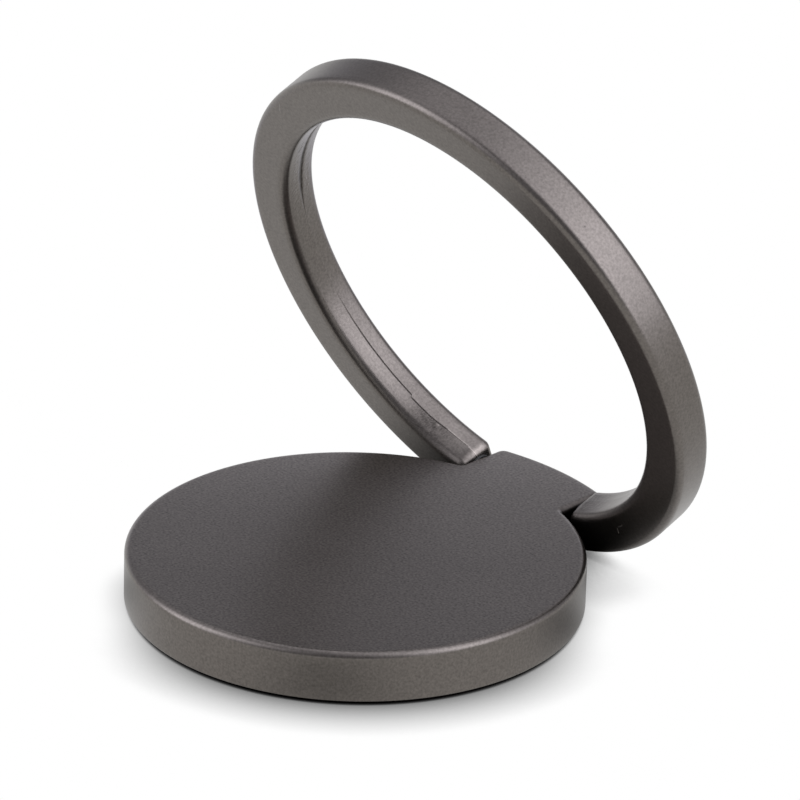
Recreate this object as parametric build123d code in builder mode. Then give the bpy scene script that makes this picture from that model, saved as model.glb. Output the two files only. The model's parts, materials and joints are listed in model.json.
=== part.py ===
# Phone ring holder: a cast disc that sticks to the back of a phone, and a finger ring hinged to its edge.
# Millimetres. The origin is the centre of the adhesive face, +Z points away from the phone, the hinge is at +Y
# and its line runs along X. The ring stands open, as in use.

import os
from math import sqrt

from build123d import *

# Base plate
disc_diameter = 30.0
base_height = 3.4
top_round = 0.45
foot_round = 0.12

# Hinge tab, in one piece with the base plate
tab_width = 9.4
tab_setback = 0.22
tab_corner_round = 0.7
notch_round = 0.25

# Finger ring
fold_gap = 0.65
ring_width = 3.22
ring_thickness = 2.9
ring_proud = 0.35
ring_outer_round = 0.5
ring_front_round = 0.6
ring_back_round = 0.45
ring_inner_draft = 0.1
ring_end_round = 0.4
open_angle = 68.7

# Hinge pin and washers
pin_diameter = 1.4
pin_reach = 1.6
pin_point = 0.15
pin_end_clearance = 0.1
pin_running_clearance = 0.03
side_gap = 0.25
washer_width = 0.25
washer_bore_clearance = 0.05
washer_running_clearance = 0.03

# Adhesive pad, in a recess of the base plate's underside
rim_wall = 1.05
pad_thickness = 0.8
pad_proud = 0.25
pad_clearance = 0.15

# Radii from the centre of the disc
disc_radius = disc_diameter / 2
ring_inner_radius = disc_radius + fold_gap
ring_outer_radius = ring_inner_radius + ring_width
tab_reach = ring_outer_radius - tab_setback
recess_radius = disc_radius - rim_wall
pad_radius = recess_radius - pad_clearance

# Radii from the hinge line
pin_radius = pin_diameter / 2
hole_radius = pin_radius + pin_running_clearance
washer_bore_radius = pin_radius + washer_bore_clearance
washer_radius = washer_bore_radius + washer_width

# Along the hinge line, from the middle of the tab
tab_side = tab_width / 2
ring_end = tab_side + side_gap
pin_end = ring_end + pin_reach
hole_end = pin_end + pin_end_clearance
washer_thickness = side_gap - washer_running_clearance

# The hinge line lies midway between the ring's inner wall at its end and its outer wall at the hole's bottom,
# so that as much metal stands inside the hole as outside it. The folded ring stands a little proud of the disc's
# top, where a fingertip can catch it.
hinge_y = (sqrt(ring_inner_radius**2 - ring_end**2) + sqrt(ring_outer_radius**2 - hole_end**2)) / 2
hinge_z = pad_proud + base_height + ring_proud - ring_thickness / 2

# Planes: the foot of the rim, a cross-section of the hinge, and the middle and a cross-section of the open ring
foot_plane = Plane.XY.offset(pad_proud)
hinge_plane = Plane((0, hinge_y, hinge_z), x_dir=(0, 1, 0), z_dir=(1, 0, 0))
swung_plane = Plane((0, hinge_y, hinge_z)).rotated((-open_angle, 0, 0))
ring_centre = swung_plane.from_local_coords(Vector(0, -hinge_y, 0))
ring_plane = Plane(ring_centre, swung_plane.x_dir, swung_plane.z_dir)
section_plane = Plane(ring_centre, ring_plane.x_dir, -ring_plane.y_dir)

# Base plate: the disc and its tab, cast together, with a recess for the pad and a bore for the pin
with BuildPart() as base_plate:
    with BuildSketch(foot_plane) as outline:
        Circle(tab_reach)
        with Locations((0, tab_reach / 2)):
            Rectangle(tab_width, tab_reach, mode=Mode.INTERSECT)
        Circle(disc_radius)
        fillet(outline.vertices().group_by(Axis.Y)[-2], notch_round)
        fillet(outline.vertices().group_by(Axis.Y)[-1], tab_corner_round)
    extrude(amount=base_height)
    fillet(base_plate.faces().sort_by(Axis.Z)[-1].edges(), top_round)
    fillet(base_plate.faces().sort_by(Axis.Z)[0].edges(), foot_round)
    with BuildSketch(foot_plane):
        Circle(recess_radius)
    extrude(amount=pad_thickness - pad_proud, mode=Mode.SUBTRACT)
    with BuildSketch(hinge_plane):
        Circle(pin_radius)
    extrude(amount=tab_side, both=True, mode=Mode.SUBTRACT)

# Finger ring: a round bar with rounded edges and an inner wall drafted both ways from its parting line,
# open where the tab goes, with a blind hole in each end
with BuildPart() as finger_ring:
    with BuildSketch(section_plane) as section:
        with BuildLine():
            Polyline(
                (ring_inner_radius, 0),
                (ring_inner_radius + ring_inner_draft, -ring_thickness / 2),
                (ring_outer_radius, -ring_thickness / 2),
                (ring_outer_radius, ring_thickness / 2),
                (ring_inner_radius + ring_inner_draft, ring_thickness / 2),
                close=True,
            )
        make_face()
        fillet(section.vertices().sort_by(Axis.X)[-2:], ring_outer_round)
        fillet(section.vertices().group_by(Axis.Y)[0].sort_by(Axis.X)[0], ring_front_round)
        fillet(section.vertices().group_by(Axis.Y)[-1].sort_by(Axis.X)[0], ring_back_round)
    revolve(axis=Axis(ring_centre, ring_plane.z_dir))
    with BuildSketch(ring_plane):
        with Locations((0, ring_outer_radius / 2)):
            Rectangle(2 * ring_end, ring_outer_radius)
    extrude(amount=ring_thickness, both=True, mode=Mode.SUBTRACT)
    fillet(finger_ring.faces().filter_by(Axis.X).edges(), ring_end_round)
    with BuildSketch(hinge_plane):
        Circle(hole_radius)
    extrude(amount=hole_end, both=True, mode=Mode.SUBTRACT)

# Hinge pin: pressed through the tab, its ends turning in the ring's holes
with BuildPart() as hinge_pin:
    with BuildSketch(hinge_plane):
        Circle(pin_radius)
    extrude(amount=pin_end, both=True)
    chamfer(hinge_pin.faces().filter_by(Axis.X).edges(), pin_point)

# Adhesive pad: a foam disc that stands proud of the rim
with BuildPart() as adhesive_pad:
    with BuildSketch():
        Circle(pad_radius)
    extrude(amount=pad_thickness)

base_plate.part.label = "base_plate"
finger_ring.part.label = "finger_ring"
hinge_pin.part.label = "hinge_pin"
adhesive_pad.part.label = "adhesive_pad"

os.makedirs("parts", exist_ok=True)
export_step(base_plate.part, "parts/base_plate.step")
export_step(finger_ring.part, "parts/finger_ring.step")
export_step(hinge_pin.part, "parts/hinge_pin.step")
export_step(adhesive_pad.part, "parts/adhesive_pad.step")

# Friction washers: one on the pin at each side of the tab
for side, washer_name in ((-1, "friction_washer_left"), (1, "friction_washer_right")):
    with BuildPart() as friction_washer:
        with BuildSketch(hinge_plane.offset(side * tab_side)):
            Circle(washer_radius)
            Circle(washer_bore_radius, mode=Mode.SUBTRACT)
        extrude(amount=side * washer_thickness)
    friction_washer.part.label = washer_name
    export_step(friction_washer.part, f"parts/{washer_name}.step")
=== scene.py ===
import json
import math

import bpy
import numpy as np
from mathutils import Matrix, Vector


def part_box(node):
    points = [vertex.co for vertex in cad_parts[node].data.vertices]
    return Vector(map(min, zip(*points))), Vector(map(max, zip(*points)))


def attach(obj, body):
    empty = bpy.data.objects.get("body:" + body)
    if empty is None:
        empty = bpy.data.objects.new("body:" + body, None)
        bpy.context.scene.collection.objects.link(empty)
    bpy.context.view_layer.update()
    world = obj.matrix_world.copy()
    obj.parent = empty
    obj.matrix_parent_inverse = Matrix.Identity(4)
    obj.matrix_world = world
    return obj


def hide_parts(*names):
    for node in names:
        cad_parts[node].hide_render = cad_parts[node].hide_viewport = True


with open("model.json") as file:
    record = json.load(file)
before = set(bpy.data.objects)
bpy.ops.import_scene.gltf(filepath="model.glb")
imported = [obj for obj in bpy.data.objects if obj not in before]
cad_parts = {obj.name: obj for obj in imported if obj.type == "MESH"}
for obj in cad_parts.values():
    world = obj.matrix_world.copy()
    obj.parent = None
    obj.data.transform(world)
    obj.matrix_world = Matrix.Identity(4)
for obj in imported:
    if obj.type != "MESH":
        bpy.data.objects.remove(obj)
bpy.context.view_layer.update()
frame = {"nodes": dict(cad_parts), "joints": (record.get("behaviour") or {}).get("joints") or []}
mm = 0.001
print("frame loaded:", sorted(frame["nodes"]))


# Sizes that the frame gives

def nodePoints(name):
    # every vertex of a CAD node, as rows of x, y, z
    mesh = frame["nodes"][name].data
    flat = np.empty(len(mesh.vertices) * 3, np.float32)
    mesh.vertices.foreach_get("co", flat)
    return flat.reshape(-1, 3).astype(float)


hinge = frame["joints"][0]
hingeY, hingeZ = hinge["pos_m"][1:]
openAngle = -math.radians(hinge["range_deg"][0])  # the ring lies flat at its lower limit


def swing(points, angle):
    # turns the -Y side up about the hinge line, by the angle that the ring opens
    x, y, z = np.moveaxis(np.asarray(points, float), -1, 0)
    dy, dz = y - hingeY, z - hingeZ
    c, s = math.cos(angle), math.sin(angle)
    return np.stack([x, hingeY + c * dy + s * dz, hingeZ - s * dy + c * dz], -1)


baseLow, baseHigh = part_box("base_plate")
padLow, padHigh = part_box("adhesive_pad")
discRadius = baseHigh.x
footZ, topZ = baseLow.z, baseHigh.z
tabReach = baseHigh.y
padRadius = padHigh.x

foldedRing = swing(nodePoints("finger_ring"), -openAngle)
ringRadii = np.hypot(foldedRing[:, 0], foldedRing[:, 1])
ringInner, ringOuter = ringRadii.min(), ringRadii.max()
ringHalf = np.ptp(foldedRing[:, 2]) / 2
ringEnd = np.abs(foldedRing[foldedRing[:, 1] > 0, 0]).min()
print("ring", np.round([ringInner / mm, ringOuter / mm, ringHalf / mm, ringEnd / mm], 3), "mm")


# Mesh helpers

def closedShell(name, loops, attributes=None):
    # loops is a grid of rows, each a closed run of points: neighbours are joined by quads, the first and last
    # rows are closed by a fan to their middle, and the faces are turned to point outwards
    rows, count = loops.shape[:2]
    points = np.concatenate([loops.reshape(-1, 3), [loops[0].mean(0)], [loops[-1].mean(0)]])
    here = np.arange(rows * count).reshape(rows, count)
    beside = np.roll(here, -1, axis=1)
    quads = np.stack([here[:-1], beside[:-1], beside[1:], here[1:]], -1).reshape(-1, 4)
    firstPole, lastPole = rows * count, rows * count + 1
    startFan = np.stack([np.full(count, firstPole), beside[0], here[0]], -1)
    endFan = np.stack([np.full(count, lastPole), here[-1], beside[-1]], -1)
    fans = np.concatenate([startFan, endFan])
    corners = points[np.concatenate([quads[:, [0, 1, 2]], quads[:, [0, 2, 3]], fans])]
    volume = np.einsum("ij,ij->i", corners[:, 0], np.cross(corners[:, 1], corners[:, 2])).sum()
    if volume < 0:
        quads, fans = quads[:, ::-1], fans[:, ::-1]
    mesh = bpy.data.meshes.new(name)
    mesh.vertices.add(len(points))
    mesh.vertices.foreach_set("co", points.astype(np.float32).ravel())
    mesh.loops.add(quads.size + fans.size)
    mesh.loops.foreach_set("vertex_index", np.concatenate([quads.ravel(), fans.ravel()]).astype(np.int32))
    totals = np.concatenate([np.full(len(quads), 4), np.full(len(fans), 3)]).astype(np.int32)
    mesh.polygons.add(len(totals))
    mesh.polygons.foreach_set("loop_start", (np.cumsum(totals) - totals).astype(np.int32))
    mesh.polygons.foreach_set("loop_total", totals)
    mesh.polygons.foreach_set("use_smooth", np.ones(len(totals), bool))
    mesh.update(calc_edges=True)
    mesh.validate()
    for label, values in (attributes or {}).items():
        layer = mesh.attributes.new(label, "FLOAT", "POINT")
        poles = [values[0].mean(), values[-1].mean()]
        layer.data.foreach_set("value", np.concatenate([values.ravel(), poles]).astype(np.float32))
    piece = bpy.data.objects.new(name, mesh)
    bpy.context.scene.collection.objects.link(piece)
    return piece


def arc(centre, radius, start, end, steps):
    # points on an arc and the directions that point away from its centre
    turn = np.linspace(start, end, steps)
    away = np.stack([np.cos(turn), np.sin(turn)], -1)
    return np.asarray(centre) + radius * away, away


def smoothStep(values, low, high):
    # 0 below low, 1 above high, and an S curve between
    t = np.clip((values - low) / (high - low), 0, 1)
    return t * t * (3 - 2 * t)


def ripple(values, waves, seed):
    # smooth waviness: a sum of sines of falling height and seeded phases, within about -1 to 1
    phases = np.random.default_rng(seed).uniform(0, 2 * math.pi, len(waves))
    heights = 1 / np.arange(1, len(waves) + 1)
    total = sum(h * np.sin(w * values + p) for h, w, p in zip(heights, waves, phases))
    return total / heights.sum()


# Shader helpers

def newGroup(name, inputs, outputs):
    tree = bpy.data.node_groups.new(name, "ShaderNodeTree")
    for label, kind, value in inputs:
        socket = tree.interface.new_socket(label, in_out="INPUT", socket_type=kind)
        if value is not None:
            socket.default_value = value
    for label, kind in outputs:
        tree.interface.new_socket(label, in_out="OUTPUT", socket_type=kind)
    return tree, tree.nodes.new("NodeGroupInput"), tree.nodes.new("NodeGroupOutput")


def addNode(tree, kind, settings=None, **sockets):
    # a node with its settings, and its input sockets set to values or linked from other sockets
    node = tree.nodes.new(kind)
    for label, value in (settings or {}).items():
        setattr(node, label, value)
    for label, value in sockets.items():
        key = int(label[1:]) if label[0] == "i" and label[1:].isdigit() else label.replace("_", " ")
        if isinstance(value, bpy.types.NodeSocket):
            tree.links.new(value, node.inputs[key])
        else:
            node.inputs[key].default_value = value
    return node


def mathNode(tree, operation, a, b=0.0, clamp=False):
    return addNode(tree, "ShaderNodeMath", dict(operation=operation, use_clamp=clamp), i0=a, i1=b).outputs[0]


def vectorNode(tree, operation, a, b, output="Value"):
    return addNode(tree, "ShaderNodeVectorMath", dict(operation=operation), i0=a, i1=b).outputs[output]


def scaled(tree, vector, share):
    return addNode(tree, "ShaderNodeVectorMath", dict(operation="SCALE"), i0=vector, Scale=share).outputs[0]


def mapRange(tree, value, start=(0.0, 1.0), end=(0.0, 1.0), smooth=False):
    # carries what lies between the first pair of values over to the second pair, evenly or along an S curve
    kind = dict(interpolation_type="SMOOTHSTEP" if smooth else "LINEAR")
    limits = dict(From_Min=start[0], From_Max=start[1], To_Min=end[0], To_Max=end[1])
    return addNode(tree, "ShaderNodeMapRange", kind, Value=value, **limits).outputs[0]


def makeGrainGroup():
    # blasted and plated metal: a fine grain and a broad cloudiness, in colour, gloss and height
    tree, given, out = newGroup(
        "blastedGrain",
        [
            ("Vector", "NodeSocketVector", None),
            ("Tone", "NodeSocketColor", (0.16, 0.15, 0.14, 1)),
            ("Grain Size", "NodeSocketFloat", 9000.0),
            ("Grain", "NodeSocketFloat", 0.2),
            ("Cloud", "NodeSocketFloat", 0.06),
            ("Gloss", "NodeSocketFloat", 0.4),
        ],
        [("Color", "NodeSocketColor"), ("Roughness", "NodeSocketFloat"), ("Height", "NodeSocketFloat")],
    )
    place = given.outputs["Vector"]
    fine = addNode(tree, "ShaderNodeTexNoise", Vector=place, Scale=given.outputs["Grain Size"], Detail=2.0)
    broad = addNode(tree, "ShaderNodeTexNoise", Vector=place, Scale=190.0, Detail=3.0)
    fineOff = mathNode(tree, "SUBTRACT", fine.outputs["Fac"], 0.5)
    broadOff = mathNode(tree, "SUBTRACT", broad.outputs["Fac"], 0.5)
    grain = mathNode(tree, "MULTIPLY", fineOff, given.outputs["Grain"])
    cloud = mathNode(tree, "MULTIPLY", broadOff, given.outputs["Cloud"])
    level = mathNode(tree, "ADD", mathNode(tree, "ADD", grain, cloud), 1.0)
    rough = mathNode(tree, "ADD", cloud, given.outputs["Gloss"])
    tree.links.new(scaled(tree, given.outputs["Tone"], level), out.inputs["Color"])
    tree.links.new(rough, out.inputs["Roughness"])
    tree.links.new(fine.outputs["Fac"], out.inputs["Height"])
    return tree


def makeNickGroup():
    # a scratch between two points: 1 on the line that joins them, 0 at its half width and beyond
    tree, given, out = newGroup(
        "nick",
        [
            ("Vector", "NodeSocketVector", None),
            ("From", "NodeSocketVector", None),
            ("To", "NodeSocketVector", None),
            ("Half Width", "NodeSocketFloat", 0.00003),
        ],
        [("Mask", "NodeSocketFloat")],
    )
    start = given.outputs["From"]
    run = vectorNode(tree, "SUBTRACT", given.outputs["To"], start, "Vector")
    here = vectorNode(tree, "SUBTRACT", given.outputs["Vector"], start, "Vector")
    along = vectorNode(tree, "DOT_PRODUCT", here, run)
    length = vectorNode(tree, "DOT_PRODUCT", run, run)
    share = mathNode(tree, "DIVIDE", along, length, clamp=True)
    distance = vectorNode(tree, "DISTANCE", here, scaled(tree, run, share))
    reach = mathNode(tree, "DIVIDE", distance, given.outputs["Half Width"])
    tree.links.new(mapRange(tree, reach, end=(1.0, 0.0), smooth=True), out.inputs["Mask"])
    return tree


grainGroup = makeGrainGroup()
nickGroup = makeNickGroup()


def newMaterial(name):
    material = bpy.data.materials.new(name)
    material.use_nodes = True
    tree = material.node_tree
    shader = tree.nodes["Principled BSDF"]
    place = tree.nodes.new("ShaderNodeTexCoord").outputs["Object"]
    return material, tree, shader, place


def useGrain(tree, place, look):
    grain = tree.nodes.new("ShaderNodeGroup")
    grain.node_tree = grainGroup
    tree.links.new(place, grain.inputs["Vector"])
    grain.inputs["Tone"].default_value = (*look["tone"], 1)
    grain.inputs["Grain Size"].default_value = look["grainSize"]
    grain.inputs["Grain"].default_value = look["grain"]
    grain.inputs["Cloud"].default_value = look["cloud"]
    grain.inputs["Gloss"].default_value = look["roughness"]
    return grain


def grainBump(tree, grain, look):
    bump = addNode(tree, "ShaderNodeBump", Strength=look["bump"], Distance=look["bumpDepth"])
    tree.links.new(grain.outputs["Height"], bump.inputs["Height"])
    return bump.outputs["Normal"]


def finishMetal(tree, shader, color, roughness, normal):
    shader.inputs["Metallic"].default_value = 1.0
    tree.links.new(color, shader.inputs["Base Color"])
    tree.links.new(roughness, shader.inputs["Roughness"])
    tree.links.new(normal, shader.inputs["Normal"])


# Base plate

base = dict(
    topRound=0.45 * mm,
    footRound=0.12 * mm,
    tabSide=4.7 * mm,
    tabCorner=0.7 * mm,
    notch=0.25 * mm,
    rimWall=1.05 * mm,
    recessDepth=0.55 * mm,
    recessLip=0.02 * mm,
    tone=(0.132, 0.119, 0.1085),
    roughness=0.32,
    grain=0.8,
    topGrain=1.9,
    topBlend=0.05 * mm,
    grainSize=6000.0,
    cloud=0.08,
    bump=0.1,
    bumpDepth=0.02 * mm,
    # painted shade in the hinge's gaps: how dark, and where it sets in by the wall's turn to the side, by Y and
    # by depth
    gapShade=0.85,
    gapFacing=(0.6, 0.95),
    gapAlong=(13.2 * mm, 14.0 * mm),
    gapDepth=(0.03 * mm, 0.25 * mm),
)


def baseOutline():
    # the disc's arc, a small hollow round into each side of the tab, straight sides, round corners and the
    # tab's outer arc, run anticlockwise from the side opposite the tab
    r, t, c, n = discRadius, base["tabSide"], base["tabCorner"], base["notch"]
    notchY = math.sqrt((r + n) ** 2 - (t + n) ** 2)
    cornerY = math.sqrt((tabReach - c) ** 2 - (t - c) ** 2)
    notchTurn = math.atan2(notchY, t + n)
    cornerTurn = math.atan2(cornerY, t - c)
    sideY = np.linspace(notchY, cornerY, 14)[1:-1]
    side = np.stack([np.full(len(sideY), t), sideY], -1)
    corner, cornerOut = arc((t - c, cornerY), c, 0, cornerTurn, 18)
    halfTab, halfTabOut = arc((0, 0), tabReach, cornerTurn, math.pi / 2, 26)
    hollow, hollowIn = arc((t + n, notchY), n, math.pi + notchTurn, math.pi, 12)
    halfDisc, halfDiscOut = arc((0, 0), r, -math.pi / 2, notchTurn, 330)
    sideOut = np.tile([1.0, 0.0], (len(side), 1))
    right = np.concatenate([halfDisc[:-1], hollow, side, corner, halfTab[1:]])
    rightOut = np.concatenate([halfDiscOut[:-1], -hollowIn, sideOut, cornerOut, halfTabOut[1:]])
    left, leftOut = right[-2:0:-1] * [-1, 1], rightOut[-2:0:-1] * [-1, 1]
    return np.concatenate([right, left]), np.concatenate([rightOut, leftOut])


def baseMaterial():
    # the blasted grain, coarser on the flat top, darkened by painted shade in the hinge's gaps
    material, tree, shader, place = newMaterial("gunmetalBase")
    grain = useGrain(tree, place, base)
    rise = addNode(tree, "ShaderNodeSeparateXYZ", Vector=place).outputs["Z"]
    coarser = mapRange(tree, rise, (topZ - base["topBlend"], topZ), (base["grain"], base["topGrain"]))
    tree.links.new(coarser, grain.inputs["Grain"])
    # painted shade: the tab's side walls go dark below the top, where the hinge's gaps lie in shade
    gapShadeMask = addNode(tree, "ShaderNodeAttribute", dict(attribute_name="gap")).outputs["Fac"]
    level = mathNode(tree, "SUBTRACT", 1.0, mathNode(tree, "MULTIPLY", gapShadeMask, base["gapShade"]))
    color = scaled(tree, grain.outputs["Color"], level)
    finishMetal(tree, shader, color, grain.outputs["Roughness"], grainBump(tree, grain, base))
    return material


def makeBase():
    # the outline carried down a profile: out over the flat top, round the edge, down the rim, round its foot,
    # in to the pad's recess and up its wall to the recess's ceiling
    line, out = baseOutline()
    top, foot, recess = base["topRound"], base["footRound"], discRadius - base["rimWall"]

    def row(inset, z, share=1.0):
        flat = (line - inset * out) * share
        return np.column_stack([flat, np.full(len(flat), z)])

    turn = np.linspace(0, math.pi / 2, 11)
    rows = [row(top, topZ, share) for share in (0.02, 0.2, 0.4, 0.6, 0.8, 0.93, 0.985)]
    rows += [row(top * (1 - math.sin(a)), topZ - top * (1 - math.cos(a))) for a in turn]
    rows += [row(0, z) for z in np.linspace(topZ - top, footZ + foot, 7)[1:-1]]
    rows += [row(foot * (1 - math.cos(a)), footZ + foot * (1 - math.sin(a))) for a in turn[::2]]
    angle = np.arctan2(line[:, 1], line[:, 0])
    rim = recess * np.column_stack([np.cos(angle), np.sin(angle)])
    edge = rows[-1][:, :2]
    for share in (0.5, 0.97, 1.0):
        rows.append(np.column_stack([edge + (rim - edge) * share, np.full(len(rim), footZ)]))
    rows.append(np.column_stack([rim, np.full(len(rim), footZ + base["recessLip"])]))
    for share in (1.0, 0.98, 0.5, 0.02):
        rows.append(np.column_stack([rim * share, np.full(len(rim), footZ + base["recessDepth"])]))
    loops = np.stack(rows)
    # painted shade in the hinge's gaps: a mask by the wall's turn to the side, by Y and by depth below the top
    beside = smoothStep(np.abs(out[:, 0]), *base["gapFacing"]) * smoothStep(line[:, 1], *base["gapAlong"])
    gap = beside * smoothStep(topZ - loops[..., 2], *base["gapDepth"])
    piece = closedShell("basePlate", loops, dict(gap=gap))
    piece.data.materials.append(baseMaterial())
    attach(piece, "base")
    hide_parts("base_plate")
    return piece


basePlate = makeBase()
print("base plate:", len(basePlate.data.polygons), "faces")


# Finger ring, worked out as it lies folded round the disc, then swung open

ring = dict(
    draft=0.1 * mm,
    outerRound=0.5 * mm,
    frontRound=0.6 * mm,
    backRound=0.45 * mm,
    endRound=0.4 * mm,
    holeRadius=0.73 * mm,
    pinClearance=0.1 * mm,
    # the parting line: degrees between which its parts come and go, heights in mm, and the depth and darkness of
    # its broad upper part, its thin lower part and the rest
    seam=dict(
        begin=(200.0, 214.0),
        broadEnd=(246.0, 266.0),
        upperEnd=(247.0, 268.0),
        thin=(282.0, 302.0),
        settle=(326.0, 333.0),
        close=(331.0, 333.0),
        stepEnd=332.0,
        stepIn=0.03 * mm,
        lie=0.1,
        wander=0.02,
        jogDrop=0.15,
        grooveDepth=0.05 * mm,
        grooveWidth=0.035 * mm,
        broadening=3.4,
        depths=dict(least=0.12, upper=1.9, thin=0.7),
        darks=dict(least=0.05, upper=0.6, thin=0.45),
    ),
    jogAngle=319.8,
    lumpAngle=329.5,
    lumpBelow=0.16 * mm,
    lumpHeight=0.04 * mm,
    lean=dict(below=0.72 * mm, above=0.9 * mm),  # how far from the line the wall follows it
    # degrees between which the scraped, the bare and the coarse patches come and go
    wear=dict(
        scrape=(319.0, 327.0),
        scrapeFade=(330.0, 336.0),
        scrapeRight=(21.0, 33.0),
        bareEdge=(331.2, 332.4),
        bareAbove=(325.0, 335.0),
        bareBelow=(333.0, 337.0),
        coarse=(222.0, 232.0),
        coarseFade=(252.0, 275.0),
        coarseRight=(22.0, 34.0),
    ),
    scrapeDepth=0.008 * mm,
    scrapeRim=0.5 * mm,
    # both ends of each mark as angle in degrees, radius and height in mm, then half width in mm and lightness
    nicks=dict(
        scratch=((222.0, 18.3, -1.45), (223.9, 17.9, -1.45), 0.05, 0.5),
        speck=((34.9, 17.35, -1.45), (35.7, 17.0, -1.45), 0.07, 0.8),
        speckTail=((36.6, 16.95, -1.45), (38.4, 16.95, -1.45), 0.06, 0.6),
        pit=((234.6, 15.7, -0.46), (236.6, 15.7, -0.6), 0.16, -0.6),
        smallPit=((232.0, 15.7, -0.5), (233.2, 15.7, -0.54), 0.14, -0.5),
        dot=((241.9, 15.68, -0.44), (242.2, 15.68, -0.44), 0.08, -0.5),
        glint=((252.0, 15.7, 0.58), (252.4, 15.7, 0.6), 0.08, 0.9),
        glintBeside=((254.8, 15.7, 0.76), (255.3, 15.7, 0.78), 0.08, 0.8),
        wallDot=((132.1, 18.87, -0.16), (132.3, 18.87, -0.16), 0.07, -0.2),
        mottle=((324.8, 15.7, -0.42), (325.3, 15.7, -0.48), 0.2, -0.16),
        mottleBeside=((326.4, 15.7, -0.48), (327.0, 15.7, -0.52), 0.22, -0.16),
        mottleBelow=((328.4, 15.7, -0.4), (329.2, 15.7, -0.5), 0.2, -0.12),
    ),
    tone=(0.132, 0.119, 0.1085),
    roughness=0.32,
    grain=0.8,
    grainSize=6000.0,
    cloud=0.08,
    bump=0.12,
    bumpDepth=0.02 * mm,
    pitSize=5000.0,
    pitDepth=1.2,
    reliefDepth=0.03 * mm,
    strokeSize=13000.0,
    strokeStretch=0.22,
    grimeDark=1.1,
    bareLight=0.9,
    darkest=0.08,
)


def roundedCorner(before, corner, after, radius, steps):
    # an arc that touches both sides of a corner, with the directions that point out of the bar
    into = (corner - before) / np.linalg.norm(corner - before)
    away = (after - corner) / np.linalg.norm(after - corner)
    turn = math.acos(float(into @ away))
    start = corner - into * radius * math.tan(turn / 2)
    outward = np.array([into[1], -into[0]])
    angles = math.atan2(outward[1], outward[0]) + np.linspace(0, turn, steps)
    out = np.stack([np.cos(angles), np.sin(angles)], -1)
    return start - outward * radius + radius * out, out


def ringSection():
    # the bar's outline, run anticlockwise as radius and height: down the inner wall from the parting line,
    # across the lower face, up the outer wall, back across the upper face and down to the line again
    innerEdge = ringInner + ring["draft"]
    ridge = (ringInner, 0.0)
    corners = [(innerEdge, -ringHalf), (ringOuter, -ringHalf), (ringOuter, ringHalf), (innerEdge, ringHalf)]
    around = np.array([ridge, *corners, ridge])
    radii = (ring["frontRound"], ring["outerRound"], ring["outerRound"], ring["backRound"])
    rounds = [roundedCorner(*around[i : i + 3], radius, 9) for i, radius in enumerate(radii)]
    near = np.array([0.0, 0.012, 0.024, 0.036, 0.05, 0.068, 0.09, 0.13, 0.2, 0.35, 0.6, 0.85]) * mm
    slope = ring["draft"] / ringHalf
    lower = np.column_stack([ringInner + near * slope, -near])[:-1]  # the front round starts sooner
    upper = np.column_stack([ringInner + near * slope, near])[:0:-1]
    runs, outs, wall = [lower], [np.tile([-1.0, -slope], (len(lower), 1))], [np.ones(len(lower))]
    for i, (points, out) in enumerate(rounds):
        runs.append(points)
        outs.append(out)
        wall.append(np.zeros(len(points)))
        if i < 3:
            flat = np.linspace(points[-1], rounds[i + 1][0][0], 7)[1:-1]
            runs.append(flat)
            outs.append(np.tile(out[-1], (len(flat), 1)))
            wall.append(np.zeros(len(flat)))
    runs.append(upper)
    outs.append(np.tile([-1.0, slope], (len(upper), 1)))
    wall.append(np.ones(len(upper)))
    return np.concatenate(runs), np.concatenate(outs), np.concatenate(wall)


def partingLine(degrees):
    # how high the line lies, how deep and wide its groove is, how dark it has gone, and how far the lower half
    # of the wall steps in
    seam, jogAngle = ring["seam"], ring["jogAngle"]
    jog = smoothStep(degrees, jogAngle - 0.12, jogAngle + 0.12)
    settle = smoothStep(degrees, *seam["settle"])
    wander = seam["wander"] * ripple(degrees, (0.11, 0.23, 0.7, 1.9), 4)
    height = (wander + seam["lie"] - seam["jogDrop"] * jog * (1 - settle)) * mm
    begun = smoothStep(degrees, *seam["begin"])
    broad = begun * (1 - smoothStep(degrees, *seam["broadEnd"]))
    upper = begun * (1 - smoothStep(degrees, *seam["upperEnd"]))
    thin = smoothStep(degrees, *seam["thin"])
    pause = jog * (1 - smoothStep(degrees, jogAngle, jogAngle + 0.8))
    closed = smoothStep(degrees, *seam["close"])

    def strongest(shares):
        return np.maximum(shares["least"], np.maximum(shares["upper"] * upper, shares["thin"] * thin))

    depth = strongest(seam["depths"]) * seam["grooveDepth"] * (1 - 0.7 * pause) * (1 - closed)
    width = seam["grooveWidth"] * (1 + seam["broadening"] * broad)
    uneven = 0.8 + 0.2 * ripple(degrees, (0.5, 1.3, 2.9), 11)
    dark = strongest(seam["darks"]) * uneven * (1 - 0.6 * pause) * (1 - closed)
    step = smoothStep(degrees, ring["lumpAngle"], seam["stepEnd"]) * seam["stepIn"]
    return height, depth, width, dark, step


def lumpBell(degrees, heights, length, width):
    # the bit of flash below the line: 1 at its middle, falling off as a bell along and across the wall
    along = (degrees - ring["lumpAngle"]) / length
    across = (heights + ring["lumpBelow"]) / width
    return np.exp(-(along**2) - across**2)


def scuffed(degrees, heights):
    # the scraped patch below the line, close to the left end, fading in and half out along the ring, and a
    # lighter one on the right end
    wear = ring["wear"]
    left = smoothStep(degrees, *wear["scrape"]) * (1 - 0.6 * smoothStep(degrees, *wear["scrapeFade"]))
    below = smoothStep(-heights, -0.02 * mm, 0.12 * mm)
    right = 0.7 * (1 - smoothStep(degrees, *wear["scrapeRight"]))
    return left * below + right


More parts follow.
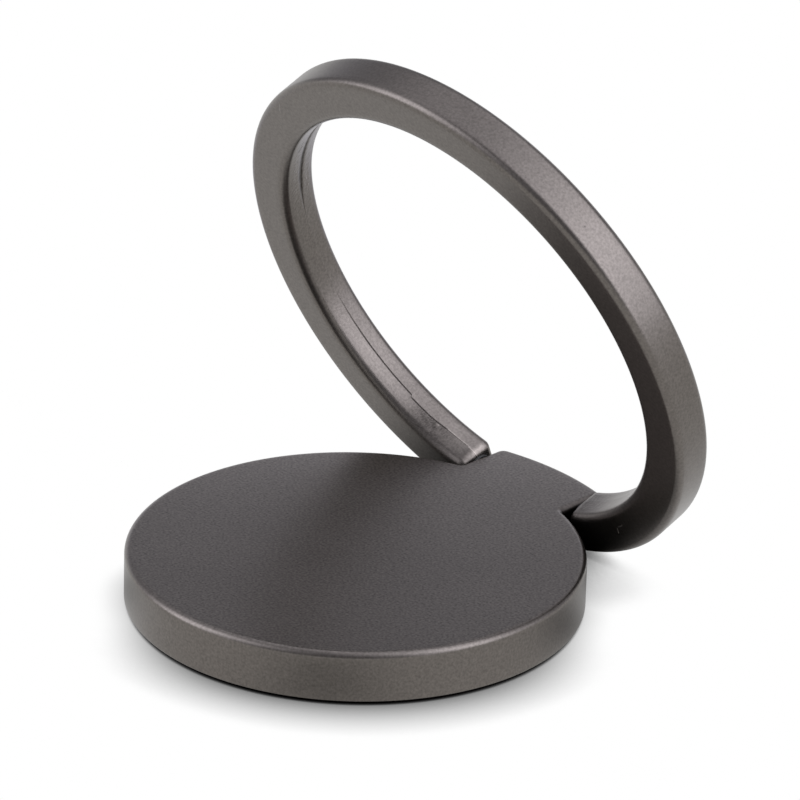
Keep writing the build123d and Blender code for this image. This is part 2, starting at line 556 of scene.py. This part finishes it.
def bared(degrees, heights):
    # where the plating is rubbed bright: the lump, the edge of the step beyond it and the wall above and below
    wear = ring["wear"]
    lump = lumpBell(degrees, heights, 0.5, 0.09 * mm)
    edge = smoothStep(degrees, *wear["bareEdge"]) * np.exp(-(((heights - 0.055 * mm) / (0.035 * mm)) ** 2))
    above = smoothStep(degrees, *wear["bareAbove"]) * smoothStep(heights, 0.0, 0.1 * mm)
    below = smoothStep(degrees, *wear["bareBelow"]) * np.exp(-(((heights + 0.12 * mm) / (0.16 * mm)) ** 2))
    return np.clip(lump + 1.1 * edge + 0.36 * above + 0.3 * below, 0, 1)


def pitted(degrees):
    # how coarse the casting's skin is on the inner wall: most below the top on the left, and at the right end
    wear = ring["wear"]
    left = smoothStep(degrees, *wear["coarse"]) * (1 - smoothStep(degrees, *wear["coarseFade"]))
    right = 1 - smoothStep(degrees, *wear["coarseRight"])
    return np.maximum(np.maximum(left, right), 0.15)


def onRing(degrees, radius, height):
    # a point of the open ring, from its angle from the tab towards +X, its radius and its height above the
    # hinge, in mm
    a = math.radians(degrees)
    point = [radius * mm * math.sin(a), radius * mm * math.cos(a), height * mm + hingeZ]
    return tuple(swing(point, openAngle))


def ringMaterial():
    # the blasted grain, darkened in the groove and the scraped patch, brightened where bare, and lightened or
    # darkened by the small marks
    material, tree, shader, place = newMaterial("gunmetalRing")
    grain = useGrain(tree, place, ring)

    def mask(name):
        return addNode(tree, "ShaderNodeAttribute", dict(attribute_name=name)).outputs["Fac"]

    scuff, grime, bare = mask("scuff"), mask("grime"), mask("bare")
    across = mathNode(tree, "MULTIPLY", mask("across"), ring["strokeStretch"])
    laid = addNode(tree, "ShaderNodeCombineXYZ", X=mask("along"), Y=across).outputs[0]
    strokes = addNode(tree, "ShaderNodeTexNoise", Vector=laid, Scale=ring["strokeSize"], Detail=3.0)
    dull = mapRange(tree, strokes.outputs["Fac"], (0.3, 0.65), (0.05, 0.5))
    level = mathNode(tree, "SUBTRACT", 1.0, mathNode(tree, "MULTIPLY", scuff, dull))
    level = mathNode(tree, "SUBTRACT", level, mathNode(tree, "MULTIPLY", grime, ring["grimeDark"]))
    level = mathNode(tree, "ADD", level, mathNode(tree, "MULTIPLY", bare, ring["bareLight"]))
    cast = addNode(tree, "ShaderNodeTexNoise", Vector=place, Scale=ring["pitSize"], Detail=2.0).outputs["Fac"]
    relief = mathNode(tree, "MULTIPLY", mathNode(tree, "MULTIPLY", cast, mask("pitted")), ring["pitDepth"])
    for start, end, halfWidth, lightness in ring["nicks"].values():
        nick = addNode(tree, "ShaderNodeGroup", dict(node_tree=nickGroup), Vector=place)
        nick.inputs["From"].default_value = onRing(*start)
        nick.inputs["To"].default_value = onRing(*end)
        nick.inputs["Half Width"].default_value = halfWidth * mm
        mark = mathNode(tree, "MULTIPLY", nick.outputs["Mask"], lightness)
        level = mathNode(tree, "ADD", level, mark)
        relief = mathNode(tree, "ADD", relief, mark)
    color = scaled(tree, grain.outputs["Color"], mathNode(tree, "MAXIMUM", level, ring["darkest"]))
    scraped = mathNode(tree, "MULTIPLY", scuff, 0.1)
    worn = mathNode(tree, "ADD", scraped, mathNode(tree, "MULTIPLY", grime, 0.25))
    rough = mathNode(tree, "ADD", grain.outputs["Roughness"], worn)
    fine = grainBump(tree, grain, ring)
    bump = addNode(tree, "ShaderNodeBump", Distance=ring["reliefDepth"], Height=relief, Normal=fine)
    finishMetal(tree, shader, color, rough, bump.outputs["Normal"])
    return material


def makeRing():
    # the section carried round the disc from the tab's right side to its left: each row lies in a plane across
    # the hinge line near the ends, where the section shrinks into a rounded end with a blind hole
    section, out, wall = ringSection()
    e, count, holeRadius = ring["endRound"], len(section), ring["holeRadius"]
    holeEnd = np.abs(nodePoints("hinge_pin")[:, 0]).max() + ring["pinClearance"]

    def planeRow(x, inset):
        # the section where the bar crosses a plane at x from the middle of the tab
        flat = section - inset * out
        y = np.sqrt(flat[:, 0] ** 2 - x * x)
        return np.column_stack([np.full(count, x), y, flat[:, 1]])

    face = planeRow(ringEnd, e)
    spread = np.arctan2(face[:, 2], face[:, 1] - hingeY)
    hole = np.column_stack([hingeY + holeRadius * np.cos(spread), holeRadius * np.sin(spread)])
    tip = [np.column_stack([np.full(count, x), hole]) for x in np.linspace(holeEnd, ringEnd, 4)]
    tip[0][:, 1:] = [hingeY, 0] + 0.3 * (tip[0][:, 1:] - [hingeY, 0])
    tip.insert(1, np.column_stack([np.full(count, holeEnd), hole]))
    tip += [tip[-1] + (face - tip[-1]) * share for share in (0.35, 0.7, 0.95)]
    for a in np.linspace(0, math.pi / 2, 8):
        tip.append(planeRow(ringEnd + e * (1 - math.cos(a)), e * (1 - math.sin(a))))
    tip = np.stack(tip)

    start = np.arcsin((ringEnd + e) / section[:, 0])
    coarse = np.linspace(0.0, 0.9, 560, endpoint=False)[1:]
    fineRows = np.linspace(0.9, 1.0, 200)[:-1]
    share = np.concatenate([coarse, fineRows])[:, None]
    turn = start + share * (2 * math.pi - 2 * start)
    degrees = np.degrees(turn)
    height, depth, width, dark, step = partingLine(degrees)
    flatR, flatH = (np.tile(values, (len(turn), 1)) for values in section.T)
    onWall = wall[None, :] > 0
    follow = np.where(flatH < 0, ring["lean"]["below"], ring["lean"]["above"])
    lean = np.clip(1 - np.abs(flatH) / follow, 0, 1)
    line = np.exp(-((flatH / width) ** 2))
    stepIn = step * smoothStep(-flatH, -0.01 * mm, 0.02 * mm) * lean
    scraped = onWall | (flatH < 0) & (flatR < ringInner + ring["scrapeRim"])
    scuff = np.where(scraped, scuffed(degrees, flatH), 0)
    grime = np.where(onWall, dark * line, 0)
    bare = np.where(onWall, bared(degrees, flatH), 0)
    pits = np.where(onWall, pitted(degrees), 0)
    ends = smoothStep(share, 0.0, 0.004) * (1 - smoothStep(share, 0.996, 1.0))
    scrape = ring["scrapeDepth"] * ripple(degrees, (9.0, 17.0, 31.0, 47.0), 7) * scuff * lean
    lump = ring["lumpHeight"] * lumpBell(degrees, flatH, 0.7, 0.1 * mm)
    radius = np.where(onWall, flatR + (depth * line + stepIn + scrape - lump) * ends, flatR)
    level = np.where(onWall, flatH + height * lean * ends, flatH)
    body = np.stack([radius * np.sin(turn), radius * np.cos(turn), level], -1)

    loops = np.concatenate([tip, body, (tip * [-1, 1, 1])[::-1]])
    first, last = len(tip), len(tip) + len(body)
    names = ("scuff", "grime", "bare", "pitted", "along", "across")
    masks = np.zeros((len(names), *loops.shape[:2]))
    masks[:, first:last] = [scuff, grime * ends, bare, pits, radius * turn, level]
    masks[:, last:] = masks[:, last - 1 : last]
    masks[names.index("grime"), last:] = 0
    loops[..., 2] += hingeZ
    piece = closedShell("fingerRing", swing(loops, openAngle), dict(zip(names, masks)))
    piece.data.materials.append(ringMaterial())
    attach(piece, "ring")
    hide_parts("finger_ring")
    return piece


fingerRing = makeRing()
print("finger ring:", len(fingerRing.data.polygons), "faces")


# Adhesive pad

pad = dict(
    edgeRound=0.08 * mm,
    tone=(0.022, 0.021, 0.021),
    roughness=0.75,
    cell=5200.0,
    cellShades=(0.8, 1.25),
    bump=0.4,
    bumpDepth=0.05 * mm,
)


def padMaterial():
    # closed-cell foam, each cell a little lighter towards its wall
    material, tree, shader, place = newMaterial("foamTape")
    cells = addNode(tree, "ShaderNodeTexVoronoi", Vector=place, Scale=pad["cell"]).outputs["Distance"]
    color = scaled(tree, pad["tone"], mapRange(tree, cells, end=pad["cellShades"]))
    bump = addNode(tree, "ShaderNodeBump", Strength=pad["bump"], Distance=pad["bumpDepth"], Height=cells)
    tree.links.new(color, shader.inputs["Base Color"])
    tree.links.new(bump.outputs["Normal"], shader.inputs["Normal"])
    shader.inputs["Roughness"].default_value = pad["roughness"]
    return material


def makePad():
    # a disc with softly rounded edges, turned about Z: its foot, side and top in one profile
    turn = np.linspace(0, 2 * math.pi, 240, endpoint=False)
    e = pad["edgeRound"]
    side = padRadius - e
    bend = np.linspace(0, math.pi / 2, 5)
    flat = [0.02 * padRadius, 0.5 * padRadius]
    radii = [*flat, *(side + e * np.sin(bend)), *(side + e * np.cos(bend)), *flat[::-1]]
    heights = [padLow.z, padLow.z, *(padLow.z + e - e * np.cos(bend))]
    heights += [*(padHigh.z - e + e * np.sin(bend)), padHigh.z, padHigh.z]
    r, z = np.array(radii)[:, None], np.array(heights)[:, None]
    loops = np.stack([r * np.cos(turn), r * np.sin(turn), z + 0 * turn], -1)
    piece = closedShell("adhesivePad", loops)
    piece.data.materials.append(padMaterial())
    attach(piece, "base")
    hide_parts("adhesive_pad")
    return piece


adhesivePad = makePad()
print("adhesive pad:", len(adhesivePad.data.polygons), "faces")


# Pin and washers keep their CAD meshes and get finishes: name, tone, metal or not, grain and roughness

hidden = dict(
    pin=dict(name="groundSteel", tone=(0.46, 0.45, 0.44), metal=1.0, grain=6000.0, rough=(0.22, 0.38)),
    washer=dict(name="blackNylon", tone=(0.03, 0.03, 0.03), metal=0.0, grain=3000.0, rough=(0.45, 0.65)),
)


def hiddenMaterial(look):
    # a plain tone whose roughness varies with a fine noise
    material, tree, shader, place = newMaterial(look["name"])
    haze = addNode(tree, "ShaderNodeTexNoise", Vector=place, Scale=look["grain"], Detail=2.0)
    rough = mapRange(tree, haze.outputs["Fac"], end=look["rough"])
    shader.inputs["Metallic"].default_value = look["metal"]
    shader.inputs["Base Color"].default_value = (*look["tone"], 1)
    tree.links.new(rough, shader.inputs["Roughness"])
    return material


def finishHinge():
    steel, nylon = hiddenMaterial(hidden["pin"]), hiddenMaterial(hidden["washer"])
    finishes = dict(hinge_pin=steel, friction_washer_left=nylon, friction_washer_right=nylon)
    for name, material in finishes.items():
        for slot in frame["nodes"][name].material_slots:
            slot.material = material


finishHinge()
print("pin and washers finished")


# Camera, floor, card and lights

camera = dict(
    azimuth=45.258,
    elevation=24.882,
    roll=1.596,
    distance=447.46 * mm,
    right=2.943 * mm,
    up=12.732 * mm,
    focal=6884.9,  # pixels of the 800 pixel frame
    frame=800,
    sensor=36.0,
    near=0.01,
    far=10.0,
)


def direction(azimuth, elevation):
    # from the object towards something seen at that azimuth, counted from -Y towards +X, and elevation
    a, e = math.radians(azimuth), math.radians(elevation)
    return np.array([math.sin(a) * math.cos(e), -math.cos(a) * math.cos(e), math.sin(e)])


def makeCamera():
    # looks along its azimuth and elevation, turned by its roll, then shifted right and up
    back = direction(camera["azimuth"], camera["elevation"])
    level = direction(camera["azimuth"] + 90, 0)
    upright = np.cross(back, level)
    roll = math.radians(camera["roll"])
    right = math.cos(roll) * level + math.sin(roll) * upright
    up = math.cos(roll) * upright - math.sin(roll) * level
    where = back * camera["distance"] + right * camera["right"] + up * camera["up"] + [0, 0, footZ]
    data = bpy.data.cameras.new("camera")
    data.sensor_width = camera["sensor"]
    data.lens = camera["focal"] * camera["sensor"] / camera["frame"]
    data.clip_start = camera["near"]
    data.clip_end = camera["far"]
    item = bpy.data.objects.new("camera", data)
    bpy.context.scene.collection.objects.link(item)
    item.matrix_world = Matrix([[right[i], up[i], back[i], where[i]] for i in range(3)] + [[0, 0, 0, 1]])
    bpy.context.scene.camera = item


def stageMaterial(name):
    # a material with no shader yet, its tree and the socket that takes one
    material = bpy.data.materials.new(name)
    material.use_nodes = True
    tree = material.node_tree
    tree.nodes.remove(tree.nodes["Principled BSDF"])
    return material, tree, tree.nodes["Material Output"].inputs["Surface"]


floor = dict(
    radius=900 * mm,
    corners=64,
    drop=0.005 * mm,
    albedo=0.8,
    reach=5 * mm,
    # the light comes from behind, so along the way to the camera the shade grows from a trace to the sides' and
    # on to the front's: from and to there, the power that deepens it, and the glow that narrows it
    behind=0.35,
    sides=dict(start=-8 * mm, end=-0.5 * mm, fall=1.0, glow=1.3),
    front=dict(start=3 * mm, end=14 * mm, fall=2.3, glow=1.1),
    # openness between which narrow gaps go dark, how dark, and between which the metal sees the floor
    narrow=(0.12, 0.4),
    narrowest=0.12,
    inMetal=(0.32, 0.52),
    # soft shades that show in the metal: right of the middle, towards the camera and width in mm, and depth
    shades=dict(
        cameraSide=(-2.5, 18.5, 6.0, 0.42),
        underRing=(17.0, 4.0, 4.5, 0.6),
        rightFoot=(15.5, -5.0, 4.5, 0.6),
        leftSide=(-16.2, -0.5, 3.5, 0.45),
        leftFoot=(3.0, -16.0, 6.0, 0.85),
    ),
)


def makeFloor():
    # a pale sheet: plain white to the eye and in reflections, darker where the object shuts out the light
    turn = np.linspace(0, 2 * math.pi, floor["corners"], endpoint=False)
    level = np.full(len(turn), -floor["drop"])
    points = np.column_stack([np.cos(turn) * floor["radius"], np.sin(turn) * floor["radius"], level])
    mesh = bpy.data.meshes.new("floor")
    mesh.from_pydata(points.tolist(), [], [list(range(len(turn)))])
    sheet = bpy.data.objects.new("floor", mesh)
    bpy.context.scene.collection.objects.link(sheet)
    material, tree, surface = stageMaterial("paleFloor")
    path = tree.nodes.new("ShaderNodeLightPath")
    mirrored = mathNode(tree, "MAXIMUM", path.outputs["Is Glossy Ray"], path.outputs["Is Transmission Ray"])
    seen = mathNode(tree, "MAXIMUM", path.outputs["Is Camera Ray"], mirrored)
    shut = addNode(tree, "ShaderNodeAmbientOcclusion", dict(samples=24), Distance=floor["reach"])
    openness = shut.outputs["AO"]
    place = tree.nodes.new("ShaderNodeTexCoord").outputs["Object"]

    def reachAlong(turn):
        return vectorNode(tree, "DOT_PRODUCT", place, tuple(direction(camera["azimuth"] + turn, 0)))

    ahead, aside = reachAlong(0), reachAlong(90)
    sides, front = floor["sides"], floor["front"]

    def grow(part, low, high):
        return mapRange(tree, ahead, (part["start"], part["end"]), (low, high), smooth=True)

    fall = grow(sides, floor["behind"], sides["fall"])
    fall = mathNode(tree, "ADD", fall, grow(front, 0.0, front["fall"] - sides["fall"]))
    shade = mathNode(tree, "POWER", openness, fall)
    shade = mathNode(tree, "MULTIPLY", shade, grow(front, sides["glow"], front["glow"]))
    narrow = mapRange(tree, openness, floor["narrow"], (floor["narrowest"], 1.0))
    shade = mathNode(tree, "MULTIPLY", mathNode(tree, "MINIMUM", shade, 1.0), narrow)
    inMetal = mapRange(tree, openness, floor["inMetal"])
    flat = addNode(tree, "ShaderNodeCombineXYZ", X=aside, Y=ahead).outputs[0]
    for right, towards, width, depth in floor["shades"].values():
        away = vectorNode(tree, "DISTANCE", flat, (right * mm, towards * mm, 0))
        share = mathNode(tree, "POWER", mathNode(tree, "DIVIDE", away, width * mm), 2.0)
        bell = mathNode(tree, "EXPONENT", mathNode(tree, "MULTIPLY", share, -1.0))
        rest = mathNode(tree, "SUBTRACT", 1.0, mathNode(tree, "MULTIPLY", bell, depth))
        inMetal = mathNode(tree, "MULTIPLY", inMetal, rest)
    strength = addNode(tree, "ShaderNodeMix", Factor=mirrored, A=shade, B=inMetal).outputs["Result"]
    glow = addNode(tree, "ShaderNodeEmission", Strength=strength)
    plain = addNode(tree, "ShaderNodeBsdfDiffuse", Color=(floor["albedo"],) * 3 + (1,))
    mix = addNode(tree, "ShaderNodeMixShader", i0=seen, i1=plain.outputs[0], i2=glow.outputs[0])
    tree.links.new(mix.outputs[0], surface)
    mesh.materials.append(material)


studio = dict(
    cove=3.7,  # degrees above the horizon up to which the backdrop is plain white
    coveBlend=0.01,
    room=0.29,
    tint=(1.0, 1.0, 1.09),
    spread=17.9,
    patches=dict(  # turn from the camera towards its right, elevation, and brightness with white at 1
        key=(60, 38, 3.5),
        keyFoot=(60, 10, 2.5),
        keyTop=(60, 66, 1.5),
        right=(90, 10, 1.0),
        backRight=(150, 10, 1.2),
        back=(180, 66, 0.7),
        backLeft=(-145, 55, 0.5),
        top=(120, 70, 0.9),
        left=(-90, 38, 2.5),
        leftFoot=(-90, 10, 3.2),
        leftFront=(-60, 38, 1.0),
        backLeftFoot=(-160, 8, 0.25),
    ),
)

card = dict(behind=33 * mm, half=60 * mm, low=7 * mm, high=14 * mm)


def makeCard():
    # a white card that glows as a soft light behind the object, clear of the floor, and shows only in the metal
    right, ahead = direction(camera["azimuth"] + 90, 0), direction(camera["azimuth"], 0)
    left, right = (-ahead * card["behind"] + side * right * card["half"] for side in (-1, 1))
    low, high = np.array([0, 0, card["low"]]), np.array([0, 0, card["high"]])
    points = [left + low, right + low, right + high, left + high]
    mesh = bpy.data.meshes.new("card")
    mesh.from_pydata([tuple(p) for p in points], [], [(0, 1, 2, 3)])
    sheet = bpy.data.objects.new("card", mesh)
    sheet.visible_camera = False
    bpy.context.scene.collection.objects.link(sheet)
    material, tree, surface = stageMaterial("whiteCard")
    glow = addNode(tree, "ShaderNodeEmission", Color=(*studio["tint"], 1), Strength=1.0)
    tree.links.new(glow.outputs[0], surface)
    mesh.materials.append(material)


def makeWorld():
    # a white cove round the horizon, and above it a dim room with soft patches of light: each patch falls off
    # as the exponential of its spread times how far the cosine to its middle is below 1
    world = bpy.data.worlds.new("studio")
    bpy.context.scene.world = world
    world.use_nodes = True
    tree = world.node_tree
    towards = tree.nodes.new("ShaderNodeTexCoord").outputs["Generated"]
    total = studio["room"]
    for turn, elevation, brightness in studio["patches"].values():
        middle = direction(camera["azimuth"] + turn, elevation)
        depth = mathNode(tree, "SUBTRACT", vectorNode(tree, "DOT_PRODUCT", towards, tuple(middle)), 1.0)
        fall = mathNode(tree, "EXPONENT", mathNode(tree, "MULTIPLY", depth, studio["spread"]))
        total = mathNode(tree, "ADD", mathNode(tree, "MULTIPLY", fall, brightness), total)
    rise = addNode(tree, "ShaderNodeSeparateXYZ", Vector=towards).outputs["Z"]
    edge, blend = math.sin(math.radians(studio["cove"])), studio["coveBlend"]
    above = mapRange(tree, rise, (edge - blend, edge + blend))
    strength = addNode(tree, "ShaderNodeMix", Factor=above, A=1.0, B=total).outputs["Result"]
    tree.links.new(strength, tree.nodes["Background"].inputs["Strength"])
    white, tinted = (1, 1, 1, 1), (*studio["tint"], 1)
    color = addNode(tree, "ShaderNodeMix", dict(data_type="RGBA"), i0=above, i6=white, i7=tinted).outputs[2]
    tree.links.new(color, tree.nodes["Background"].inputs["Color"])


makeFloor()
makeCard()
makeWorld()
makeCamera()
bpy.context.scene.view_settings.view_transform = "Standard"
print("floor, camera and", len(studio["patches"]), "patches of light placed")
